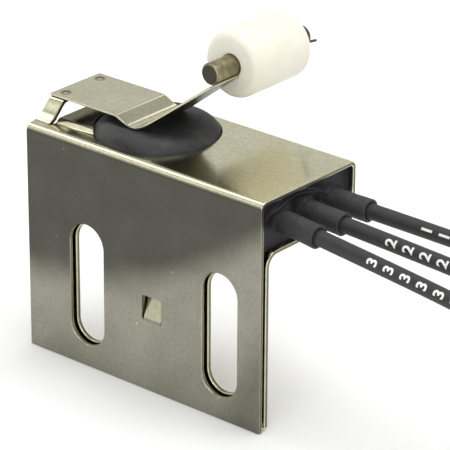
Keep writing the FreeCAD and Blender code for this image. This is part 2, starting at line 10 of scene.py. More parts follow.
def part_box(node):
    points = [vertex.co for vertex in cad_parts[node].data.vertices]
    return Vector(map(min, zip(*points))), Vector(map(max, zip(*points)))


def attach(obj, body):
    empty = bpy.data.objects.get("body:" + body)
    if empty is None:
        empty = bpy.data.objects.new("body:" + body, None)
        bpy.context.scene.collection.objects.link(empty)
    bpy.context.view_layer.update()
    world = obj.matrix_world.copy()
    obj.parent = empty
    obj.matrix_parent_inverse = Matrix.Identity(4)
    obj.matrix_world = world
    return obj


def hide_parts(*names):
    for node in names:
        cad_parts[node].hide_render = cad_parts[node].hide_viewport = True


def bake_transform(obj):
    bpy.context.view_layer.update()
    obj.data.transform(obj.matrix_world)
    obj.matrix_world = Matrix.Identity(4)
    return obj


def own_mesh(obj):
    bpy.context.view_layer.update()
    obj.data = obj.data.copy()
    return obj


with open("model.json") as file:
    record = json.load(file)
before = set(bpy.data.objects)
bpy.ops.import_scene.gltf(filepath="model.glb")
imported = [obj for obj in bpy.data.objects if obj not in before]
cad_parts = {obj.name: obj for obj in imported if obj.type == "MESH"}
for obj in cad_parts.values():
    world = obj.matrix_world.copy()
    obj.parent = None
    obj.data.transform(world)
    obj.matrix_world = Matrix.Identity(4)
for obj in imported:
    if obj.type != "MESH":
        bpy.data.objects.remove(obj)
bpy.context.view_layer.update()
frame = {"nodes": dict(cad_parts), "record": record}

mm = 0.001
touching = 0.01 * mm  # nearer is the same place
scene = bpy.context.scene
nodes = frame["nodes"]
plateLow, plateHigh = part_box("bracket")
leftEnd = plateLow.x
floorHeight, bridgeTop = plateLow.z, plateHigh.z
midDepth = (plateLow.y + plateHigh.y) / 2
print("frame loaded:", len(nodes), "nodes")


def addObject(name, data):
    holder = bpy.data.objects.new(name, data)
    scene.collection.objects.link(holder)
    return holder


# camera

cameraView = {
    "azimuth": 40.2, "elevation": 24.3, "roll": 0.29,
    "focalPixels": 3000.0, "imagePixels": 450.0, "sensor": 36.0,
    "target": (-2.6 * mm, 8.55 * mm, 14.49 * mm),
    "slideRight": 9.91 * mm, "slideUp": -0.83 * mm, "distance": 553.98 * mm,
}


def placeCamera(view):
    az, el, roll = (math.radians(view[k]) for k in ("azimuth", "elevation", "roll"))
    back = Vector((math.sin(az) * math.cos(el), -math.cos(az) * math.cos(el), math.sin(el)))
    right = Vector((math.cos(az), math.sin(az), 0))
    up = back.cross(right)
    tiltedRight = right * math.cos(roll) + up * math.sin(roll)
    tiltedUp = up * math.cos(roll) - right * math.sin(roll)
    place = Vector(view["target"]) + tiltedRight * view["slideRight"] + tiltedUp * view["slideUp"]
    place += back * view["distance"]
    lens = bpy.data.cameras.new("photoCamera")
    lens.sensor_width = view["sensor"]
    lens.lens = view["sensor"] * view["focalPixels"] / view["imagePixels"]
    lens.clip_start = 0.01
    holder = addObject("photoCamera", lens)
    turned = Matrix((tiltedRight, tiltedUp, back)).transposed().to_4x4()
    holder.matrix_world = Matrix.Translation(place) @ turned
    scene.camera = holder
    return np.array(back)


towardsCamera = placeCamera(cameraView)
print("camera placed")


# mesh helpers

mergeLimits = {"surface": 0.0001 * mm, "solid": 0.001 * mm}


# a working copy of a mesh with its doubled points merged
def openMesh(mesh, merge):
    shape = bmesh.new()
    shape.from_mesh(mesh)
    bmesh.ops.remove_doubles(shape, verts=shape.verts, dist=merge)
    return shape


# the working copy goes back into its mesh, shaded smooth
def closeMesh(shape, mesh):
    shape.to_mesh(mesh)
    shape.free()
    mesh.polygons.foreach_set("use_smooth", np.ones(len(mesh.polygons), bool))


def newMesh(name, points, faces, material):
    mesh = bpy.data.meshes.new(name)
    mesh.from_pydata(np.asarray(points, float).reshape(-1, 3).tolist(), [], faces)
    mesh.materials.append(material)
    return mesh


# a new surface with its faces turned outwards
def addSurface(name, points, faces, material):
    mesh = newMesh(name, points, faces, material)
    shape = openMesh(mesh, mergeLimits["surface"])
    bmesh.ops.recalc_face_normals(shape, faces=shape.faces)
    closeMesh(shape, mesh)
    return addObject(name, mesh)


# a piece rides on its body, and the node that it replaces is hidden
def tellFrame(piece, body, replaced=None):
    if body:
        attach(piece, body)
    if replaced:
        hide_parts(replaced)


# a new surface that wears the look of its slot
def addPiece(name, points, faces, body, slot, replaced=None):
    piece = addSurface(name, points, faces, slotLooks[slot])
    tellFrame(piece, body, replaced)
    return piece


# an open surface is turned over where its first face looks the other way
def faceTo(mesh, direction):
    if mesh.polygons[0].normal.dot(Vector(direction)) < 0:
        mesh.flip_normals()


# a wall grows inwards where side is -1, outwards where it is 1
def thicken(piece, name, thickness, side):
    wall = piece.modifiers.new(name, "SOLIDIFY")
    wall.thickness = thickness
    wall.offset = side


def addLayer(mesh, name, domain, values):
    layer = mesh.attributes.new(name, "FLOAT", domain)
    layer.data.foreach_set("value", np.asarray(values, np.float32))


def meshPoints(mesh):
    flat = np.empty(3 * len(mesh.vertices))
    mesh.vertices.foreach_get("co", flat)
    return flat.reshape(-1, 3)


# faces of a grid of rows by columns, closed round each row, and back to the first row where asked
def gridFaces(rows, columns, closedColumns=True, closedRows=False):
    index = np.arange(rows * columns).reshape(rows, columns)
    if closedRows:
        index = np.vstack((index, index[:1]))
    beside = np.roll(index, -1, axis=1)
    if not closedColumns:
        index, beside = index[:, :-1], beside[:, :-1]
    quads = np.stack((index[:-1], beside[:-1], beside[1:], index[1:]), axis=-1)
    return quads.reshape(-1, 4).tolist()


def fullTurn(steps):
    return np.linspace(0, 2 * np.pi, steps, endpoint=False)


# directions at each angle a: cos a * side + sin a * other
def circle(angle, side, other):
    return np.cos(angle)[..., None] * side + np.sin(angle)[..., None] * other


# turned surface: centre + radius * circle + height * along, for each profile point and angle
def turnProfile(profile, centre, along, side, steps):
    along, side = np.array(along, float), np.array(side, float)
    ring = circle(fullTurn(steps), side, np.cross(along, side))
    radius, height = profile[:, 0, None, None], profile[:, 1, None, None]
    return np.asarray(centre, float) + radius * ring + height * along


# polyline with each corner replaced by an arc of its own radius that touches both runs
def roundCorners(corners, radii, steps):
    corners = np.asarray(corners, float)
    line = [corners[:1]]
    for before, here, after, radius in zip(corners, corners[1:], corners[2:], radii[1:]):
        towards = (before - here) / np.linalg.norm(before - here)
        away = (after - here) / np.linalg.norm(after - here)
        half = math.acos(np.clip(towards @ away, -1, 1)) / 2
        inward = (towards + away) / np.linalg.norm(towards + away)
        across = towards - inward * (towards @ inward)
        across /= np.linalg.norm(across)
        sweep = np.linspace(1, -1, steps)[:, None] * (math.pi / 2 - half)
        centre = here + inward * radius / math.sin(half)
        line.append(centre - radius * (np.cos(sweep) * inward - np.sin(sweep) * across))
    return np.vstack(line + [corners[-1:]])


# points at given distances along a polyline, with the direction there from a short step each way
def followLine(line, distance, step=0.2 * mm):
    travelled = np.concatenate(([0], np.cumsum(np.linalg.norm(np.diff(line, axis=0), axis=1))))

    def at(d):
        return np.stack([np.interp(d, travelled, line[:, k]) for k in range(line.shape[1])], axis=-1)

    ahead = at(distance + step) - at(distance - step)
    return at(distance), ahead / np.linalg.norm(ahead, axis=-1, keepdims=True)


# the two directions square to a line: one level, the other square to it and the line
def squareTo(ahead):
    side = np.cross(ahead, (0, 0, 1))
    side /= np.linalg.norm(side, axis=-1, keepdims=True)
    return side, np.cross(side, ahead)


# rings round a line: centre + radius * circle
def ringsAlong(centres, ahead, radii, steps):
    side, other = squareTo(ahead)
    ring = circle(fullTurn(steps), side[:, None], other[:, None])
    return centres[:, None] + np.broadcast_to(radii, (len(centres), steps))[..., None] * ring


# material helpers

cloudRange = (0.3, 0.7)  # the part of a noise that carries its tones
mixInputs, mixOutput = (6, 7), 2  # a mix node's sockets for colours


def newMaterial(name):
    material = bpy.data.materials.new(name)
    material.use_nodes = True
    return material, material.node_tree


# each input is linked where its value comes from another node, else set
def feedNode(tree, node, inputs):
    for key, value in inputs.items():
        if isinstance(value, bpy.types.NodeSocket):
            tree.links.new(value, node.inputs[key])
        else:
            node.inputs[key].default_value = value


def addNode(tree, kind, inputs, **settings):
    node = tree.nodes.new("ShaderNode" + kind)
    for key, value in settings.items():
        setattr(node, key, value)
    feedNode(tree, node, inputs)
    return node


def dressShader(tree, inputs):
    feedNode(tree, tree.nodes["Principled BSDF"], inputs)


def twoTones(tree, factor, dark, light):
    ramp = addNode(tree, "ValToRGB", {"Fac": factor})
    for element, place, colour in zip(ramp.color_ramp.elements, cloudRange, (dark, light)):
        element.position = place
        element.color = (*colour, 1)
    return ramp.outputs["Color"]


def spread(tree, factor, fromLow, fromHigh, low, high, smooth=False):
    kind = "SMOOTHSTEP" if smooth else "LINEAR"
    inputs = {"Value": factor, "From Min": fromLow, "From Max": fromHigh, "To Min": low, "To Max": high}
    return addNode(tree, "MapRange", inputs, interpolation_type=kind).outputs["Result"]


def calculate(tree, operation, *values):
    return addNode(tree, "Math", dict(enumerate(values)), operation=operation).outputs["Value"]


def shareOut(tree, share, first, second):
    return calculate(tree, "MULTIPLY_ADD", first, share, calculate(tree, "MULTIPLY", second, 1 - share))


def mixColours(tree, factor, first, second):
    inputs = {"Factor": factor}
    for index, colour in zip(mixInputs, (first, second)):
        inputs[index] = (*colour, 1) if isinstance(colour, tuple) else colour
    return addNode(tree, "Mix", inputs, data_type="RGBA").outputs[mixOutput]


def objectPlace(tree, scale=(1, 1, 1)):
    place = addNode(tree, "TexCoord", {}).outputs["Object"]
    return addNode(tree, "Mapping", {"Vector": place, "Scale": scale}).outputs["Vector"]


def placeParts(tree):
    return list(addNode(tree, "SeparateXYZ", {"Vector": objectPlace(tree)}).outputs)


def noiseAt(tree, scale, detail, roughness=0.55):
    inputs = {"Vector": objectPlace(tree, scale), "Scale": 1.0, "Detail": detail, "Roughness": roughness}
    return addNode(tree, "TexNoise", inputs).outputs["Fac"]


def readLayer(tree, name):
    return addNode(tree, "Attribute", {}, attribute_name=name).outputs["Fac"]


def bumpFrom(tree, height, strength, distance, below=None):
    inputs = {"Height": height, "Strength": strength, "Distance": distance}
    if below:
        inputs["Normal"] = below
    return addNode(tree, "Bump", inputs).outputs["Normal"]


# rolled steel

steelLook = {
    "name": "rolledStainless",
    "noises": {  # scale along each axis, detail and roughness
        "cloud": ((110, 140, 140), 4),
        "grain": ((350, 5200, 5200), 3),
        "wave": ((38, 46, 46), 1),
        "fine": ((1500, 1500, 1500), 2),
        "stain": ((42, 42, 26), 6, 0.6),
    },
    # a darker copy of the steel's tone, painted shade for the mounting face, also taken on by faces seen
    # only from behind
    "shadedDark": (0.215, 0.211, 0.172),
    "shadedLight": (0.365, 0.358, 0.290),
    "stainShare": 0.65,  # of the pale tone, the rest from the clouds
    # painted shade: a dark reflection over the mounting face's upper part and lower right corner, and shade
    # on top of the ramp
    "paintedShadeDark": (0.074, 0.075, 0.062),
    "paintedShadeLight": (0.092, 0.092, 0.076),
    "shadeEdge": (7.4, leftEnd + 3.0 * mm, 0.25 * mm),  # bend, place and height of the lowest point
    "shadeFade": 4.5 * mm,
    "shadeWander": 10.0 * mm,
    "frontDepth": (0.03 * mm, 0.30 * mm),
    "cornerShade": (-0.45, 21.0 * mm, 29.0 * mm, 0.5),  # share of height, start, end and strength
    "rampShade": (leftEnd + 3.7 * mm, 29.52 * mm),  # start and height of the painted shade on top of the ramp, under the lever
    "rampShadeFade": (0.2 * mm, 0.1 * mm),
    "rampShadeShare": 0.95,
    "brightDark": (0.60, 0.575, 0.40),
    "brightLight": (0.68, 0.65, 0.455),
    "rearShare": 0.65,  # how far the faces seen only from behind turn pale
    "boxBack": (plateHigh.y - 0.5 * mm, plateHigh.y - 0.2 * mm),
    "belowBox": (16.5 * mm, 14.5 * mm),
    "flangeBack": (1.9 * mm, 2.2 * mm),
    "mottle": (0.05, 0.05, 0.04),
    "mottleSpread": (0.35, 0.65, 0, 0.16),  # start, end and the shares there, as in the next two
    "speckSize": (0.05, 0.09, 1, 0),
    "speckPatches": (0.56, 0.66, 0, 0.8),
    "speckScale": (420, 420, 420),
    "speck": (0.80, 0.79, 0.72),
    "weld": (0.15, 0.095, 0.045),  # heat tint
    "cutAndShade": (0.17, 0.16, 0.12),  # sheared edges
    "cutRough": 0.25,
    "rough": (0.13, 0.21),
    "grainShare": 0.6,  # of the roughness, the rest from the fine noise
    "waveBump": (0.5, 0.06 * mm),
    "grainBump": (0.35, 0.004 * mm),
}
leverLook = {
    **steelLook,
    "name": "springStainless",
    "brightDark": (0.54, 0.52, 0.37), "brightLight": (0.61, 0.585, 0.415),
    "rearShare": 0.0, "rampShadeShare": 0.0,
    # the lever's cut tone paints its underside as shade
    "cutAndShade": (0.13, 0.125, 0.10), "rough": (0.07, 0.13), "waveBump": (0.5, 0.04 * mm),
}


# painted shade: a dark reflection painted over the mounting face above a rising curve whose edge wanders
# with the stain, and a painted reflection of the floor's shadow over the lower right corner
def paintedShadeCover(tree, look, x, z, stain):
    bend, lowest, height = look["shadeEdge"]
    middle, fade = height + look["shadeWander"] / 2, look["shadeFade"]
    across = calculate(tree, "SUBTRACT", x, lowest)
    above = calculate(tree, "MULTIPLY_ADD", calculate(tree, "MULTIPLY", across, across), -bend, z)
    above = calculate(tree, "MULTIPLY_ADD", stain, look["shadeWander"], above)
    lean, start, end, strength = look["cornerShade"]
    corner = calculate(tree, "MULTIPLY_ADD", z, lean, x)
    return calculate(
        tree, "MAXIMUM",
        spread(tree, above, middle - fade, middle + fade, 0, 1, True),
        spread(tree, corner, start, end, 0, strength, True),
    )


# the other faces are bright, take on the mounting face's tone where they are seen only from behind, and get
# painted shade on top of the ramp under the lever
def brightFaces(tree, look, place, bright, shadedTone, filmAndShade):
    x, y, z = place
    boxBack = spread(tree, y, *look["boxBack"], 0, look["rearShare"])
    belowBox = spread(tree, z, *look["belowBox"], 0, look["rearShare"])
    flangeBack = calculate(tree, "MULTIPLY", belowBox, spread(tree, y, *look["flangeBack"], 0, 1))
    bright = mixColours(tree, calculate(tree, "MAXIMUM", boxBack, flangeBack), bright, shadedTone)
    # painted shade on top of the ramp, where the lever hangs over it
    start, height = look["rampShade"]
    alongFade, upFade = look["rampShadeFade"]
    rampShadeMask = calculate(
        tree, "MULTIPLY",
        spread(tree, x, start, start + alongFade, 0, look["rampShadeShare"]),
        spread(tree, z, height, height + upFade, 0, 1),
    )
    return mixColours(tree, rampShadeMask, bright, filmAndShade)


# pale specks at the middles of scattered cells, in clouded patches of the mounting face
def speckCover(tree, look, cloud, offFront):
    cells = addNode(tree, "TexVoronoi", {"Vector": objectPlace(tree, look["speckScale"]), "Scale": 1.0})
    near = spread(tree, cells.outputs["Distance"], *look["speckSize"])
    patches = spread(tree, cloud, *look["speckPatches"])
    chosen = calculate(tree, "MULTIPLY", patches, spread(tree, offFront, 0, 1, 1, 0))
    return calculate(tree, "MULTIPLY", near, chosen)


# rolled stainless: cloudy tone, on the mounting face a darker copy of it as painted shade with a painted
# dark reflection over its upper part, grain along x, slight waves and specks, brown heat tint at the welds,
# dull cut edges, painted shade on the lever's underside
def sheetSteel(look):
    material, tree = newMaterial(look["name"])
    cloud, grain, wave, fine, stain = (noiseAt(tree, *noise) for noise in look["noises"].values())
    x, y, z = placeParts(tree)
    bright = twoTones(tree, cloud, look["brightDark"], look["brightLight"])
    # painted shade tone, for the dark reflection on the mounting face and the shade on the ramp
    filmAndShade = twoTones(tree, cloud, look["paintedShadeDark"], look["paintedShadeLight"])
    stained = shareOut(tree, look["stainShare"], stain, cloud)
    # a darker copy of the tone, painted shade for the mounting face
    shadedTone = twoTones(tree, stained, look["shadedDark"], look["shadedLight"])
    front = mixColours(tree, paintedShadeCover(tree, look, x, z, stain), shadedTone, filmAndShade)
    offFront = spread(tree, y, *look["frontDepth"], 0, 1, True)
    tone = mixColours(tree, offFront, front, brightFaces(tree, look, (x, y, z), bright, shadedTone, filmAndShade))
    # cut faces, and on the lever its underside, which the cut tone paints as shade
    cutAndShade = readLayer(tree, "cutAndShade")
    layers = {
        "mottle": spread(tree, fine, *look["mottleSpread"]),
        "speck": speckCover(tree, look, cloud, offFront),
        "weld": readLayer(tree, "weldTint"),
        "cutAndShade": cutAndShade,
    }
    for colour, cover in layers.items():
        tone = mixColours(tree, cover, tone, look[colour])
    blurred = shareOut(tree, look["grainShare"], grain, fine)
    rough = spread(tree, blurred, *cloudRange, *look["rough"])
    rough = calculate(tree, "MULTIPLY_ADD", cutAndShade, look["cutRough"], rough)
    bump = bumpFrom(tree, grain, *look["grainBump"], bumpFrom(tree, wave, *look["waveBump"]))
    dressShader(tree, {"Base Color": tone, "Roughness": rough, "Normal": bump, "Metallic": 1.0})
    return material


# pin steel

pinLook = {
    # end: darker tone of the near end face; the same tone is painted shade on the part behind the roller
    "dark": (0.18, 0.16, 0.097), "light": (0.36, 0.32, 0.20), "end": (0.060, 0.061, 0.048),
    "clouds": ((500, 900, 500), 5), "rings": ((200, 6000, 200), 3), "ringBump": (0.3, 0.01 * mm),
    "nearEndFade": (0.02 * mm, 0.06 * mm), "rollerShadeFade": 0.4 * mm, "rollerShadeShare": 0.9, "rough": (0.28, 0.46),
}


# brown-olive film in cloudy rings along the pin, darker on its near end face, with painted shade where it
# runs on behind the roller
def drawnPin(look):
    material, tree = newMaterial("drawnPinSteel")
    cloud = noiseAt(tree, *look["clouds"])
    tone = twoTones(tree, cloud, look["dark"], look["light"])
    depth = placeParts(tree)[1]
    nearEnd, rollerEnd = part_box("roller_axle")[0].y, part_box("roller")[1].y
    fadeStart, fadeEnd = look["nearEndFade"]
    nearEndDark = spread(tree, depth, nearEnd + fadeStart, nearEnd + fadeEnd, 1, 0)
    # painted shade where the axle runs on behind the roller
    rollerShade = spread(tree, depth, rollerEnd, rollerEnd + look["rollerShadeFade"], 0, look["rollerShadeShare"])
    tone = mixColours(tree, calculate(tree, "MAXIMUM", nearEndDark, rollerShade), tone, look["end"])
    rough = spread(tree, cloud, *cloudRange, *look["rough"])
    bump = bumpFrom(tree, noiseAt(tree, *look["rings"]), *look["ringBump"])
    dressShader(tree, {"Base Color": tone, "Roughness": rough, "Normal": bump, "Metallic": 1.0})
    return material


# boot rubber

rubberLook = {
    "dark": (0.011, 0.011, 0.012), "light": (0.021, 0.021, 0.022), "dust": (0.076, 0.075, 0.071),
    "clouds": ((700, 700, 700), 5), "smears": ((110, 240, 200), 6, 0.65),
    "nearBridge": (-6 * mm, -22 * mm, 0, 0.16),  # start, end and the shares there, as in the next
    "dustSpread": (0.50, 0.78, 0, 0.75), "rough": (0.5, 0.75), "bump": (0.25, 0.05 * mm),
}


# near black with a pale dust in soft smears, the pale tone spreading further towards the bridge
def dustyRubber(look):
    material, tree = newMaterial("bootRubber")
    cloud = noiseAt(tree, *look["clouds"])
    smear = noiseAt(tree, *look["smears"])
    tone = twoTones(tree, cloud, look["dark"], look["light"])
    towardsBridge = spread(tree, placeParts(tree)[0], *look["nearBridge"])
    dust = spread(tree, calculate(tree, "ADD", smear, towardsBridge), *look["dustSpread"])
    tone = mixColours(tree, dust, tone, look["dust"])
    rough = spread(tree, smear, *cloudRange, *look["rough"])
    bump = bumpFrom(tree, cloud, *look["bump"])
    dressShader(tree, {"Base Color": tone, "Roughness": rough, "Normal": bump})
    return material


# plastics and wires

softLook = {
    "detail": 5,
    "roughSwing": 0.06,
    "bumpDepth": 0.04 * mm,
    "glow": {"Subsurface Radius": (1.0, 0.8, 0.55), "Subsurface Scale": 1.2 * mm},
}


# moulded or dipped finish: two tones clouded together, a roughness that follows them, a fine bump
def softFinish(name, dark, light, rough, scale=900, bump=0.15, metallic=0.0, subsurface=0.0, specular=0.5):
    material, tree = newMaterial(name)
    cloud = noiseAt(tree, (scale, scale, scale), softLook["detail"])
    swing = softLook["roughSwing"]
    dressShader(tree, {
        "Base Color": twoTones(tree, cloud, dark, light),
        "Roughness": spread(tree, cloud, *cloudRange, rough - swing, rough + swing),
        "Normal": bumpFrom(tree, cloud, bump, softLook["bumpDepth"]),
        "Metallic": metallic,
        "Specular IOR Level": specular,
    })
    if subsurface:
        dressShader(tree, {"Subsurface Weight": subsurface, **softLook["glow"]})
    return material


leverSteel = sheetSteel(leverLook)
printWhite = softFinish("whitePrint", (0.72, 0.72, 0.70), (0.86, 0.86, 0.84), 0.5, scale=2500, bump=0.1)
slotLooks = {  # a finish has a name, a dark and a light tone and a roughness, then what is its own
    "sheet_steel": sheetSteel(steelLook),
    "pin_steel": drawnPin(pinLook),
    "boot_rubber": dustyRubber(rubberLook),
    "nylon": softFinish(
        "ivoryNylon", (0.76, 0.735, 0.63), (0.81, 0.785, 0.68), 0.42, scale=260, bump=0.05, subsurface=0.2,
    ),
    "resin": softFinish(
        "blackResin", (0.009, 0.008, 0.011), (0.016, 0.014, 0.018), 0.42, scale=500, bump=0.2, specular=0.2,
    ),
    "sleeve_plastic": softFinish(
        "shrinkSleeve", (0.013, 0.013, 0.014), (0.036, 0.036, 0.036), 0.62, scale=1500, bump=0.5,
    ),
    "lead_insulation": softFinish(
        "leadInsulation", (0.014, 0.014, 0.015), (0.023, 0.023, 0.023), 0.52, scale=800, bump=0.12,
    ),
    "case_plastic": softFinish("casePlastic", (0.05, 0.04, 0.03), (0.09, 0.07, 0.05), 0.5),
    "plunger_plastic": softFinish("plungerPlastic", (0.4, 0.05, 0.03), (0.5, 0.07, 0.05), 0.4),
    "contact_metal": softFinish(
        "platedContact", (0.6, 0.45, 0.22), (0.75, 0.6, 0.35), 0.3, bump=0.1, metallic=1.0,
    ),
    "wire_metal": softFinish(
        "tinnedCopper", (0.50, 0.44, 0.38), (0.68, 0.62, 0.54), 0.28, scale=1500, bump=0.1, metallic=1.0,
    ),
}
for subpart in frame["record"]["subparts"]:
    dressed = nodes[subpart["node"]].data
    dressed.materials.clear()
    dressed.materials.append(slotLooks[subpart["material_slot"]])
print("nodes dressed")


# copies of solids

flatAngle = 0.4  # degrees


# merged copy of a solid, with its flat faces joined, open for changes
def openCopy(node, name):
    mesh = nodes[node].data.copy()
    mesh.name = name
    shape = openMesh(mesh, mergeLimits["solid"])
    bmesh.ops.dissolve_limit(
        shape, angle_limit=math.radians(flatAngle), verts=shape.verts, edges=shape.edges,
    )
    return mesh, shape


def closeCopy(mesh, shape, body, node):
    closeMesh(shape, mesh)
    piece = addObject(mesh.name, mesh)
    level = piece.modifiers.new("flatFaces", "WEIGHTED_NORMAL")
    level.weight = 100
    level.keep_sharp = True
    tellFrame(piece, body, node)
    return piece


def rollEdges(shape, chosen, width, segments):
    edges = [edge for edge in shape.edges if chosen(edge)]
    bmesh.ops.bevel(
        shape, geom=edges, offset=width, offset_type="OFFSET",
        segments=segments, profile=0.5, affect="EDGES",
    )


def liesAt(edge, depth):
    return all(abs(point.co.y - depth) < touching for point in edge.verts)


# bracket

bracketLook = {
    "slotRims": [(0.0, 0.30 * mm), (1.55 * mm, 0.25 * mm)],  # depth of a rim, width of its round
    "slotSpan": (12.0 * mm, 20.6 * mm, 12.6 * mm),
    "edge": 0.2 * mm, "segments": 3, "sharpAngle": 35.0, "creaseAngle": 17.0,
    "tabSpan": 3.0 * mm,
    "slitSpan": (-27.0 * mm, 11.6 * mm, 27.5 * mm, 29.2 * mm),
    "bridgeWidth": 3.6 * mm, "legRise": 2.0 * mm, "legCuts": 9, "legSag": 0.14 * mm,
    "sagBias": 0.7,  # under 1 brings the deepest point nearer the foot
    "square": 0.98, "edgeOn": 0.1, "plateTop": 14.5 * mm, "roof": 27.8 * mm,
    "bootHole": (leftEnd + 20.8 * mm, 12.3 * mm),
}


# cut faces: those square to x, those square to the plate, and the wall and edge of the boot's hole
def isCut(face, look):
    normal, middle = face.normal, face.calc_center_median()
    holeX, holeRadius = look["bootHole"]
    inHole = middle.z > look["roof"] and math.hypot(middle.x - holeX, middle.y - midDepth) < holeRadius
    return (
        abs(normal.x) > look["square"]
        or (abs(normal.y) < look["edgeOn"] and middle.z < look["plateTop"])
        or (abs(normal.z) < look["square"] and inHole)
    )


def isSlotRim(edge, depth, look):
    near, far, high = look["slotSpan"]
    places = [point.co for point in edge.verts]
    return liesAt(edge, depth) and all(near < abs(place.x) < far and abs(place.z) < high for place in places)


# the tab's edges and those of the narrow slits beside the bridge have no room for a round
def isTight(edge, look):
    end, wide, low, high = look["slitSpan"]
    places = [point.co for point in edge.verts]
    atTab = all(max(abs(place.x), abs(place.z)) < look["tabSpan"] for place in places)
    atSlit = any(
        place.x < end and abs(place.y - midDepth) < wide and low < place.z < high for place in places
    )
    return atTab or atSlit


# the long edges of one leg's straight stretch
def isLegEdge(edge, side, look):
    first, last = (point.co for point in edge.verts)
    onBridge = max(first.x, last.x) < leftEnd + look["bridgeWidth"] and min(first.z, last.z) > look["roof"]
    return onBridge and abs(last.z - first.z) > look["legRise"] and side * (first.y - midDepth) > 0


# each leg's straight stretch sags inwards by sag * sin(pi * share ** bias) ** 2 and flares out at its foot
def sagLegs(shape, look):
    for side in (-1, 1):
        edges = [edge for edge in shape.edges if isLegEdge(edge, side, look)]
        first, last = sorted((point.co.copy() for point in edges[0].verts), key=lambda place: place.z)
        along = (last - first).normalized()
        inward = Vector((0, -side * along.z, side * along.y))
        cuts = bmesh.ops.subdivide_edges(shape, edges=edges, cuts=look["legCuts"])["geom_inner"]
        for point in (item for item in cuts if isinstance(item, bmesh.types.BMVert)):
            share = (point.co - first).dot(along) / (last - first).length
            point.co += inward * look["legSag"] * math.sin(math.pi * share ** look["sagBias"]) ** 2


# the folded sheet with its legs curved and its cut edges rolled over, most at the slots' front rims
def makeBracket(look):
    mesh, shape = openCopy("bracket", "foldedBracket")
    crease, sharp = math.radians(look["creaseAngle"]), math.radians(look["sharpAngle"])
    sagLegs(shape, look)

    def isRolled(edge):
        return edge.calc_face_angle(0) >= sharp and not isTight(edge, look)

    for edge in shape.edges:
        edge.smooth = edge.calc_face_angle(0) <= crease or isRolled(edge)
    for depth, width in look["slotRims"]:
        rollEdges(
            shape, lambda edge: isRolled(edge) and isSlotRim(edge, depth, look), width, look["segments"],
        )
    rollEdges(shape, isRolled, look["edge"], look["segments"])
    cutAndShade = shape.faces.layers.float.new("cutAndShade")
    for face in shape.faces:
        face[cutAndShade] = float(isCut(face, look))
    closeCopy(mesh, shape, "base", "bracket")


makeBracket(bracketLook)
print("bracket made")


# lever leaf

leverForm = {
    "thickness": 0.4 * mm, "width": 13.7 * mm, "tipWidth": 8.0 * mm, "edge": 0.08 * mm,
    "flat": 16.5 * mm, "dipRun": 4.6 * mm, "dip": 2.15 * mm, "arm": 17.2 * mm, "armAngle": 38.2,
    "shoulderFold": 1.2 * mm, "dipFold": 4.0 * mm, "bendStart": 2.6 * mm, "bendEnd": 9.0 * mm,
    "weldSpacing": 9.4 * mm, "weldFromEnd": 2.1 * mm, "weldReach": 4.0 * mm,
    "weldRadius": 0.85 * mm, "weldDepth": 0.10 * mm, "weldRim": 0.05 * mm,
    "rimRing": (1.1, 0.22),  # place and width in weld radii, as in tintRing
    "nub": (0.6, 0.3),  # share of the depth, width in weld radii
    "tintRing": (0.85, 0.4), "tintShare": 0.95, "facingDown": -0.5,
}


# middle line of the strip in x and z: flat on the bridge, down into the dip, straight up the arm
def leverLine(form):
    half = form["thickness"] / 2
    arm = math.radians(form["armAngle"])
    dipX = leftEnd + form["flat"] + form["dipRun"]
    under = np.array([
        (leftEnd, bridgeTop),
        (leftEnd + form["flat"], bridgeTop),
        (dipX, bridgeTop - form["dip"]),
        (dipX + form["arm"] * math.cos(arm), bridgeTop - form["dip"] + form["arm"] * math.sin(arm)),
    ])
    run = np.diff(under, axis=0)
    run /= np.linalg.norm(run, axis=1, keepdims=True)
    normal = np.stack((-run[:, 1], run[:, 0]), axis=-1)
    first, last = np.vstack((normal[:1], normal)), np.vstack((normal, normal[-1:]))
    middle = under + half * (first + last) / (1 + np.sum(first * last, axis=1, keepdims=True))
    return roundCorners(middle, [0, form["shoulderFold"] + half, form["dipFold"] + half], steps=24)


# distances along the strip: close together in its round ends and over the welds, even along the rest
def leverRows(form, length):
    edge, reach = form["edge"], form["weldReach"]
    ends = edge * (1 - np.cos(np.linspace(0, np.pi / 2, 5)))
    start = np.linspace(edge, reach, 40)[1:]
    rest = np.linspace(reach, length - edge, 150)[1:]
    return np.concatenate((ends, start, rest, length - ends[::-1][1:]))


# closed loop of a flat bar's section, across and up, with small round corners
def barSection(halfWidth, halfHeight, corner, acrossSteps, cornerSteps):
    turn = np.linspace(0, np.pi / 2, cornerSteps)
    arc = np.stack((np.cos(turn), np.sin(turn)), axis=-1) * corner
    inset = np.array((halfWidth - corner, halfHeight - corner))
    right = np.concatenate((inset * (1, -1) + arc[::-1] * (1, -1), inset + arc))
    across = np.linspace(inset[0], -inset[0], acrossSteps)[1:-1]
    top = np.stack((across, np.full_like(across, halfHeight)), axis=-1)
    half = np.concatenate((right, top))
    return np.concatenate((half, -half))


# distance from each weld's middle, in weld radii
def weldShares(form, along, across):
    sides = (-0.5 * form["weldSpacing"], 0.5 * form["weldSpacing"])
    return [np.hypot(along - form["weldFromEnd"], across - side) / form["weldRadius"] for side in sides]


